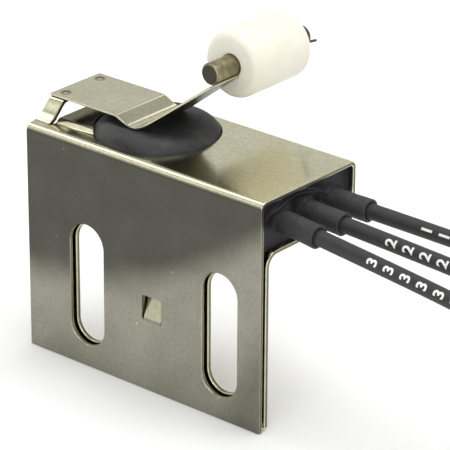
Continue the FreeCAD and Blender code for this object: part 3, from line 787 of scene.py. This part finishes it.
# point = middle line + up * normal + across * y, thinned to a round at both ends, drawn in on the near side
# from the dip to the tip, with a shallow ringed dimple at each weld
def makeLever(form):
    line = leverLine(form)
    length = np.sum(np.linalg.norm(np.diff(line, axis=0), axis=1))
    distance = leverRows(form, length)
    centre, ahead = followLine(line, distance)
    edge, halfWidth, halfHeight = form["edge"], form["width"] / 2, form["thickness"] / 2
    section = barSection(halfWidth, halfHeight, edge, acrossSteps=90, cornerSteps=4)
    inset = np.maximum(edge - np.minimum(distance, length - distance), 0)
    shrink = edge - np.sqrt(np.maximum(edge**2 - inset**2, 0))
    across = section[None, :, 0] - np.sign(section[:, 0]) * shrink[:, None]
    up = section[None, :, 1] - np.sign(section[:, 1]) * shrink[:, None]
    rimPlace, rimWidth = form["rimRing"]
    nubShare, nubWidth = form["nub"]
    for share in weldShares(form, distance[:, None], across):
        pit = -form["weldDepth"] * np.clip(1 - share**2, 0, 1)
        rim = form["weldRim"] * np.exp(-(((share - rimPlace) / rimWidth) ** 2))
        nub = nubShare * form["weldDepth"] * np.exp(-((share / nubWidth) ** 2))
        up = up + np.where(section[:, 1] > 0, pit + rim + nub, 0)
    x = centre[:, None, 0] - ahead[:, None, 1] * up
    z = centre[:, None, 1] + ahead[:, None, 0] * up
    dipX = leftEnd + form["flat"] + form["dipRun"]
    taper = 1 - form["tipWidth"] / form["width"]
    narrow = 1 - taper * np.clip((x - dipX) / (line[-1, 0] - dipX), 0, 1)
    across = halfWidth - (halfWidth - across) * narrow
    points = np.stack((x, midDepth + across, z), axis=-1)
    rows, columns = across.shape
    faces = gridFaces(rows, columns)
    faces += [list(range(columns)), list(range((rows - 1) * columns, rows * columns))]
    piece = addSurface("leverLeaf", points, faces, leverSteel)
    tintWelds(piece.data, form)
    shadeUnderside(piece.data, form)
    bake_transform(piece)
    tellFrame(piece, None, "lever_leaf")


# brown tint fades out in a ring round each weld
def tintWelds(mesh, form):
    place = meshPoints(mesh)
    ring, width = form["tintRing"]
    shares = weldShares(form, place[:, 0] - leftEnd, place[:, 1] - midDepth)
    tint = sum(form["tintShare"] * np.exp(-(((share - ring) / width) ** 2)) for share in shares)
    addLayer(mesh, "weldTint", "POINT", np.clip(tint, 0, 1))


# the side that faces down is as rough as a cut edge and painted darker with the cut tone, as painted shade
def shadeUnderside(mesh, form):
    normals = np.empty(3 * len(mesh.polygons), np.float32)
    mesh.polygons.foreach_get("normal", normals)
    addLayer(mesh, "cutAndShade", "FACE", normals[2::3] < form["facingDown"])


makeLever(leverForm)
print("lever made")


# boot

bootForm = {
    "centre": (leftEnd + 20.8 * mm, midDepth),
    "neck": 11.75 * mm, "flat": 10.75 * mm, "shoulder": 4.2 * mm, "softFlat": 0.12 * mm,
    "dish": 0.2 * mm, "dishMid": 0.75, "lip": 0.3 * mm, "wall": 0.9 * mm, "sheet": 0.9 * mm,
    "flange": 12.1 * mm, "flangeThickness": 1.1 * mm,
    "flangeDrop": 1.15 * mm,  # from the resin's top to the flange's underside
    "bossRadius": 1.7 * mm, "bossGap": 0.05 * mm, "keep": 0.74, "steps": 160,
}


# a quarter bulge from one point to another, sampled as an arc through a third point
def arcThrough(first, middle, last, steps):
    a, b, c = (complex(*p) for p in (first, middle, last))
    w = (c - a) / (b - a)
    centre = (b - a) * (w - abs(w) ** 2) / (2j * w.imag) + a
    radius = abs(a - centre)
    swing = np.unwrap([np.angle(p - centre) for p in (a, b, c)])
    angle = np.linspace(swing[0], swing[2], steps)
    return np.stack((centre.real + radius * np.cos(angle), centre.imag + radius * np.sin(angle)), axis=-1)


# half section from the top's middle out over the dome, round the flange and back inside to the boss
def bootProfile(form, bottom, flangeTop, boxTop):
    top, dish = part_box("boot")[1].z, form["dish"]
    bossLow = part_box("plunger")[1].z + form["bossGap"]
    neck, flange, wall, lip = form["neck"], form["flange"], form["wall"], boxTop + form["lip"]
    shoulder, cave, ceiling = neck - form["shoulder"], neck - wall, top - wall - dish
    root = math.sqrt(0.5)
    dishMid = (shoulder / 2, top - form["dishMid"] * dish)
    dishLine = arcThrough((0, top - dish), dishMid, (shoulder, top), steps=24)
    crest = (shoulder + form["shoulder"] * root, lip + (top - lip) * root)
    bulge = arcThrough((shoulder, top), crest, (neck, lip), steps=40)[1:]
    corners = [(neck, flangeTop), (flange, flangeTop), (flange, bottom), (cave, bottom), (cave, boxTop)]
    hollowMid = (shoulder + (cave - shoulder) * root, boxTop + (ceiling - boxTop) * root)
    hollow = arcThrough((cave, boxTop), hollowMid, (shoulder, ceiling), steps=16)[1:]
    boss = [(form["bossRadius"], ceiling), (form["bossRadius"], bossLow), (0, bossLow)]
    return np.concatenate((dishLine, bulge, corners, hollow, boss))


# turned section, its two sides then flattened: y is held back softly past the flat above the flange
def makeBoot(form):
    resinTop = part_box("resin")[1].z
    bottom, boxTop = resinTop - form["flangeDrop"], resinTop + form["sheet"]
    flangeTop = bottom + form["flangeThickness"]
    profile = bootProfile(form, bottom, flangeTop, boxTop)
    points = turnProfile(profile, (*form["centre"], 0), (0, 0, 1), (1, 0, 0), form["steps"])
    off = points[..., 1] - form["centre"][1]
    soft = form["softFlat"]
    held = np.abs(off) - soft * np.logaddexp(0, (np.abs(off) - form["flat"]) / soft)
    above = points[..., 2] > flangeTop + touching
    points[..., 1] = form["centre"][1] + np.where(above, np.sign(off) * held, off)
    faces = gridFaces(*points.shape[:2])
    piece = addPiece("rubberBoot", points, faces, "base", "boot_rubber", "boot")
    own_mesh(piece)


makeBoot(bootForm)
print("boot made")


# snap spring

springForm = {"keep": 0.06, "sharpAngle": 40.0}


# merged copy of the bowed strip, with its sharper edges shaded sharp
def makeSpring(form):
    mesh, shape = openCopy("snap_spring", "snapSpring")
    for edge in shape.edges:
        edge.smooth = edge.calc_face_angle(0) < math.radians(form["sharpAngle"])
    piece = closeCopy(mesh, shape, "blade", "snap_spring")
    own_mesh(piece)


makeSpring(springForm)
print("spring made")


# axle

axleForm = {"edge": 0.18 * mm, "segments": 3}


# the pin with both ends' rims rounded
def makeAxle(form):
    ends = [corner.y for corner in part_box("roller_axle")]
    mesh, shape = openCopy("roller_axle", "rollerAxle")
    rollEdges(shape, lambda edge: any(liesAt(edge, end) for end in ends), form["edge"], form["segments"])
    closeCopy(mesh, shape, "lever", "roller_axle")


makeAxle(axleForm)
print("axle made")


# roller

rollerForm = {
    "fillet": 1.5 * mm, "crown": 0.03 * mm, "steps": 128,
    "bore": 2.18 * mm, "boreEdge": 0.25 * mm, "boreStep": 1.3, "chamferMid": (0.12 * mm, 0.1 * mm),
}


# turned ring: bore, chamfered mouth, flat end, rounded rim and a faint crown
def makeRoller(form):
    low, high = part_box("roller")
    radius, length = (high.z - low.z) / 2, high.y - low.y
    centre = ((low.x + high.x) / 2, low.y, (low.z + high.z) / 2)
    fillet, bore, mouth = form["fillet"], form["bore"], form["boreEdge"]
    turn = np.linspace(0, np.pi / 2, 16)[:, None]
    rim = np.hstack((radius - fillet + fillet * np.sin(turn), fillet - fillet * np.cos(turn)))
    crown = np.linspace(fillet, length / 2, 16)[1:]
    fall = form["crown"] * ((crown - length / 2) / (length / 2 - fillet)) ** 2
    barrel = np.stack((radius - fall, crown), axis=-1)
    face = np.linspace(bore + mouth, radius - fillet, 12)[:-1]
    face = np.stack((face, np.zeros_like(face)), axis=-1)
    chamferOut, chamferIn = form["chamferMid"]
    inside = np.array([
        (bore, length / 2), (bore, mouth * form["boreStep"]), (bore, mouth), (bore + chamferOut, chamferIn),
    ])
    half = np.concatenate((inside, face, rim, barrel))
    profile = np.concatenate((half, (half * (1, -1) + (0, length))[::-1][1:-1]))
    points = turnProfile(profile, centre, (0, 1, 0), (1, 0, 0), form["steps"])
    faces = gridFaces(*points.shape[:2], closedRows=True)
    addPiece("nylonRoller", points, faces, "roller_body", "nylon", "roller")


makeRoller(rollerForm)
print("roller made")


# resin at the lead end

resinForm = {
    "sleeves": [(7.2 * mm, 23.4 * mm), (13.8 * mm, 23.1 * mm), (20.8 * mm, 23.0 * mm)],
    "sleeveRadius": 2.15 * mm, "climb": 0.95 * mm, "climbLength": 0.5 * mm,
    "wallClimb": 0.35 * mm, "wallLength": 0.45 * mm, "lumpReach": 1.0 * mm,
    "ridge": 0.75 * mm, "ridgeWidth": 0.40 * mm,
    "ridgeLine": (25.0 * mm, 1.9 * mm, 3.0 * mm, 0.21 / mm),  # height, swing, start and turn
    "ridgeEnds": (2.6 * mm, 2.0 * mm, 20.5 * mm, 5.0 * mm),  # start, its fade, end, its fade
    "lumps": (0.05 * mm, 1.7 / mm, 2.3 / mm, 1.0),  # height, turn in y and in z, phase
    "inset": 0.03 * mm, "lift": 0.01 * mm, "skin": 0.3 * mm,
}


# x = flat face + climb at the walls + climb round each sleeve + one soft ridge over the sleeves
# + lumps at the walls, on a grid of y and z
def makeResinFace(form):
    low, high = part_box("resin")
    inset = form["inset"]
    y, z = np.meshgrid(
        np.linspace(low.y + inset, high.y - inset, 180),
        np.linspace(low.z + inset, high.z - inset, 76),
    )
    toWall = np.minimum(np.minimum(y - low.y, high.y - y), np.minimum(z - low.z, high.z - z))
    rise = form["wallClimb"] * np.exp(-toWall / form["wallLength"])
    for sleeveY, sleeveZ in form["sleeves"]:
        gap = np.maximum(np.hypot(y - sleeveY, z - sleeveZ) - form["sleeveRadius"], 0)
        rise += form["climb"] * np.exp(-gap / form["climbLength"])
    height, swing, start, turn = form["ridgeLine"]
    crest = height + swing * np.sin((y - start) * turn)
    start, startFade, end, endFade = form["ridgeEnds"]
    window = np.clip((y - start) / startFade, 0, 1) * np.clip((end - y) / endFade, 0, 1)
    rise += form["ridge"] * window * np.exp(-(((z - crest) / form["ridgeWidth"]) ** 2))
    height, turnY, turnZ, phase = form["lumps"]
    lumps = height * np.sin(y * turnY) * np.sin(z * turnZ + phase)
    x = high.x + form["lift"] + rise + lumps * np.exp(-toWall / form["lumpReach"])
    faces = gridFaces(*y.shape, closedColumns=False)
    piece = addPiece("resinFace", np.stack((x, y, z), axis=-1), faces, "base", "resin")
    faceTo(piece.data, (1, 0, 0))
    thicken(piece, "skin", form["skin"], -1)


makeResinFace(resinForm)
print("resin made")


# leads

leadLook = {"diameter": 3.0 * mm, "turnSteps": 12}
leadRoutes = {
    "common": [
        (20.9, 7.2, 23.4), (45.8, 5.2, 22.3), (71.7, 3.4, 20.5), (96.3, 2.6, 16.2),
        (119.3, 3.0, 7.0), (139.6, 4.4, -5.2), (160.5, 6.8, -15.2), (181.0, 9.6, -15.35),
    ],
    "open": [
        (20.9, 13.8, 23.1), (45.9, 13.0, 22.6), (71.9, 12.4, 21.5), (97.6, 12.1, 17.9),
        (121.7, 12.6, 9.4), (143.0, 13.6, -3.4), (164.3, 15.4, -14.9), (185.6, 18.2, -15.35),
    ],
    "closed": [
        (20.9, 20.8, 23.0), (44.9, 21.0, 22.9), (69.9, 21.4, 22.2), (95.7, 22.2, 19.0),
        (120.2, 23.6, 11.4), (142.8, 25.4, -0.8), (165.2, 28.2, -14.2), (187.2, 32.0, -15.35),
    ],
}
leadNumbers = {"common": "3", "open": "2", "closed": "1"}


def leadCurve(name, route):
    line = bpy.data.curves.new(name + "Lead", "CURVE")
    line.dimensions = "3D"
    line.resolution_u = 24
    spline = line.splines.new("NURBS")
    spline.points.add(len(route) - 1)
    for point, place in zip(spline.points, route):
        point.co = (*[v * mm for v in place], 1)
    spline.order_u = 3
    spline.use_endpoint_u = True
    return line


def meshFrom(curve):
    holder = bpy.data.objects.new("outline", curve)
    mesh = bpy.data.meshes.new_from_object(holder)
    bpy.data.objects.remove(holder)
    return mesh


# the line of a curve with no thickness, as points in order
def curvePoints(curve):
    mesh = meshFrom(curve)
    points = meshPoints(mesh)
    bpy.data.meshes.remove(mesh)
    return points


sleeveForm = {
    "length": 13.2 * mm, "outer": 2.15 * mm, "inner": 1.52 * mm, "round": 0.22 * mm,
    "flare": 0.05 * mm, "flareFrom": 0.8, "ripple": 0.025 * mm, "phaseStep": 2.1,
    "rippleTurns": (2, 500, 900),  # round the sleeve, twist along it, swell along it
    "mouthDepth": 0.05 * mm, "boreDepth": 2.0 * mm, "steps": 72,
}


# shrink sleeve: outer radius with shallow ripples and a slight flare, rounded lip, then back along the bore
def makeSleeve(name, line, form, phase):
    length, lip, widest = form["length"], form["round"], form["outer"] + form["flare"]
    body = np.linspace(0, length - lip, 50)
    turn = np.linspace(0, np.pi / 2, 7)[1:]
    bore = (length - form["mouthDepth"], length - form["boreDepth"], 0)
    distance = np.concatenate((body, length - lip + lip * np.sin(turn), bore))
    flared = np.clip((body / length - form["flareFrom"]) / (1 - form["flareFrom"]), 0, 1) ** 2
    radius = np.concatenate((
        form["outer"] + form["flare"] * flared,
        widest - lip + lip * np.cos(turn),
        np.full(len(bore), form["inner"]),
    ))
    around, twist, swell = form["rippleTurns"]
    wander = np.sin(around * fullTurn(form["steps"]) + phase + twist * distance[:, None])
    wander = wander * np.sin(swell * distance[:, None] + phase)
    outside = (np.arange(len(distance)) < len(body) + len(turn))[:, None]
    radii = radius[:, None] + form["ripple"] * wander * outside
    centre, ahead = followLine(line, distance)
    points = ringsAlong(centre, ahead, radii, form["steps"])
    faces = gridFaces(*points.shape[:2], closedRows=True)
    return addPiece(name + "Sleeve", points, faces, "base", "sleeve_plastic", name + "_sleeve")


tipForm = {
    "length": 8.0 * mm, "buried": 0.3 * mm, "strand": 0.2 * mm, "lay": 0.4 * mm,
    "twist": 2.4, "outerStrands": 6, "steps": 12,
}


# strands twisted round a straight one, each centre = end + distance * ahead + lay * circle
def makeTip(name, line, form):
    end, back = line[-1], line[-1] - line[-2]
    ahead = back / np.linalg.norm(back)
    side, other = squareTo(ahead)
    distance = np.linspace(-form["buried"], form["length"], 40)
    radii = np.full((len(distance) + 2, 1), form["strand"])
    radii[[0, -1]] = 0
    count = form["outerStrands"]
    points, faces = [], []
    for strand in range(count + 1):
        turn = strand * 2 * np.pi / count + form["twist"] * np.pi * distance / form["length"]
        lay = form["lay"] if strand < count else 0
        centre = end + distance[:, None] * ahead + lay * circle(turn, side, other)
        centre = np.vstack((centre[:1], centre, centre[-1:]))
        rings = ringsAlong(centre, np.tile(ahead, (len(centre), 1)), radii, form["steps"])
        first = sum(len(p) for p in points)
        faces += (np.array(gridFaces(*rings.shape[:2])) + first).tolist()
        points.append(rings.reshape(-1, 3))
    return addPiece(name + "Strands", np.vstack(points), faces, "base", "wire_metal", name + "_tip")


printForm = {
    "height": 2.3 * mm, "pitch": 3.8 * mm, "count": 36, "lift": 0.015 * mm, "thickness": 0.02 * mm,
    "first": {"common": 26.8 * mm, "open": 24.7 * mm, "closed": 26.5 * mm},
    "bold": 0.025,  # this and the next two in the font's own units
    "merge": 0.0001, "longest": 0.12, "passes": 2,
}


# flat outline and triangles of a figure, one unit high, fine enough to wrap round a lead
def glyphMesh(figure, form):
    text = bpy.data.curves.new("figure", "FONT")
    text.body = figure
    text.resolution_u = 4
    text.offset = form["bold"]
    mesh = meshFrom(text)
    shape = openMesh(mesh, form["merge"])
    bmesh.ops.triangulate(shape, faces=shape.faces)
    for _ in range(form["passes"]):
        long = [edge for edge in shape.edges if edge.calc_length() > form["longest"]]
        bmesh.ops.subdivide_edges(shape, edges=long, cuts=1)
        bmesh.ops.triangulate(shape, faces=shape.faces)
    closeMesh(shape, mesh)
    outline = meshPoints(mesh)[:, :2]
    outline = outline - (outline.min(0) + outline.max(0)) / 2
    faces = np.array([list(face.vertices) for face in mesh.polygons])
    bpy.data.meshes.remove(mesh)
    bpy.data.curves.remove(text)
    return outline / np.ptp(outline[:, 1]), faces


# figures wrap the lead: up runs back along it, across turns round it by across / radius from the side seen
def makePrint(name, line, figure, form):
    outline, faces = glyphMesh(figure, form)
    outline = outline * form["height"]
    radius = leadLook["diameter"] / 2 + form["lift"]
    row = form["first"][name] + form["pitch"] * np.arange(form["count"])
    centre, ahead = followLine(line, row[:, None] - outline[None, :, 1])
    facing = towardsCamera - ahead * (ahead @ towardsCamera)[..., None]
    facing /= np.linalg.norm(facing, axis=-1, keepdims=True)
    across = np.cross(-ahead, facing)
    points = centre + radius * circle(outline[:, 0] / radius, facing, across)
    allFaces = (faces[None] + len(outline) * np.arange(form["count"])[:, None, None]).reshape(-1, 3)
    mesh = newMesh(name + "Figures", points, allFaces.tolist(), printWhite)
    piece = addObject(name + "Figures", mesh)
    thicken(piece, "filmAndShade", form["thickness"], 1)
    tellFrame(piece, "base")
    return piece


def makeLead(name, route, phase):
    curve = leadCurve(name, route)
    line = curvePoints(curve)
    curve.bevel_depth = leadLook["diameter"] / 2
    curve.bevel_resolution = leadLook["turnSteps"]
    curve.use_fill_caps = True
    lead = addObject(name + "Lead", curve)
    curve.materials.append(slotLooks["lead_insulation"])
    tellFrame(lead, "base", name + "_lead")
    pieces = [
        makeSleeve(name, line, sleeveForm, phase),
        makeTip(name, line, tipForm),
        makePrint(name, line, leadNumbers[name], printForm),
    ]


for turn, (name, route) in enumerate(leadRoutes.items()):
    makeLead(name, route, sleeveForm["phaseStep"] * turn)
print("leads laid")


# floor and light

floorLook = {
    "size": 3.0, "drop": 0.02 * mm,
    "dark": (0.90, 0.90, 0.89), "light": (0.93, 0.93, 0.92),
    "clouds": ((16, 16, 16), 3), "rough": 0.85, "specular": 0.1,
}


def layFloor(look):
    material, tree = newMaterial("paleFloor")
    tone = twoTones(tree, noiseAt(tree, *look["clouds"]), look["dark"], look["light"])
    dressShader(tree, {
        "Base Color": tone, "Roughness": look["rough"], "Specular IOR Level": look["specular"],
    })
    half, height = look["size"] / 2, floorHeight - look["drop"]
    corners = [(-half, -half, height), (half, -half, height), (half, half, height), (-half, half, height)]
    floor = addSurface("floor", corners, [(0, 1, 2, 3)], material)
    faceTo(floor.data, (0, 0, 1))


lightLook = {  # direction, distance, size and brightness
    "foldStrip": ((-0.588, 0.0, 0.81), 0.9, (0.34, 0.38), 2.2),
    "legCard": ((-0.588, -0.47, 0.66), 0.9, (0.28, 0.16), 0.8),
    "overhead": ((0.25, 0.20, 1.0), 1.1, (0.9, 0.9), 2.95),
    "backStrip": ((-0.26, 0.72, 0.62), 1.0, (0.30, 0.10), 1.3),
    "frontFill": ((0.45, -0.95, 0.50), 1.2, (1.0, 0.8), 1.4),
}


# a soft box of an even brightness: power = brightness * area * pi
def addLight(name, direction, distance, size, brightness):
    place = Vector(direction).normalized() * distance
    lamp = bpy.data.lights.new(name, "AREA")
    lamp.shape = "RECTANGLE"
    lamp.size, lamp.size_y = size
    lamp.energy = brightness * size[0] * size[1] * math.pi
    holder = addObject(name, lamp)
    holder.location = place
    holder.rotation_euler = (-place).to_track_quat("-Z", "Y").to_euler()


worldLook = {"low": 0.80, "high": 0.62, "from": 0.46, "to": 0.68}


# strength by the height of the direction: even round the horizon, dimmer overhead
def lightWorld(look):
    world = bpy.data.worlds.new("studio")
    scene.world = world
    world.use_nodes = True
    tree = world.node_tree
    height = placeParts(tree)[2]
    strength = spread(tree, height, look["from"], look["to"], look["low"], look["high"], True)
    feedNode(tree, tree.nodes["Background"], {"Color": (1, 1, 1, 1), "Strength": strength})


layFloor(floorLook)
for name, settings in lightLook.items():
    addLight(name, *settings)
lightWorld(worldLook)
scene.view_settings.view_transform = "Standard"
print("stage lit")
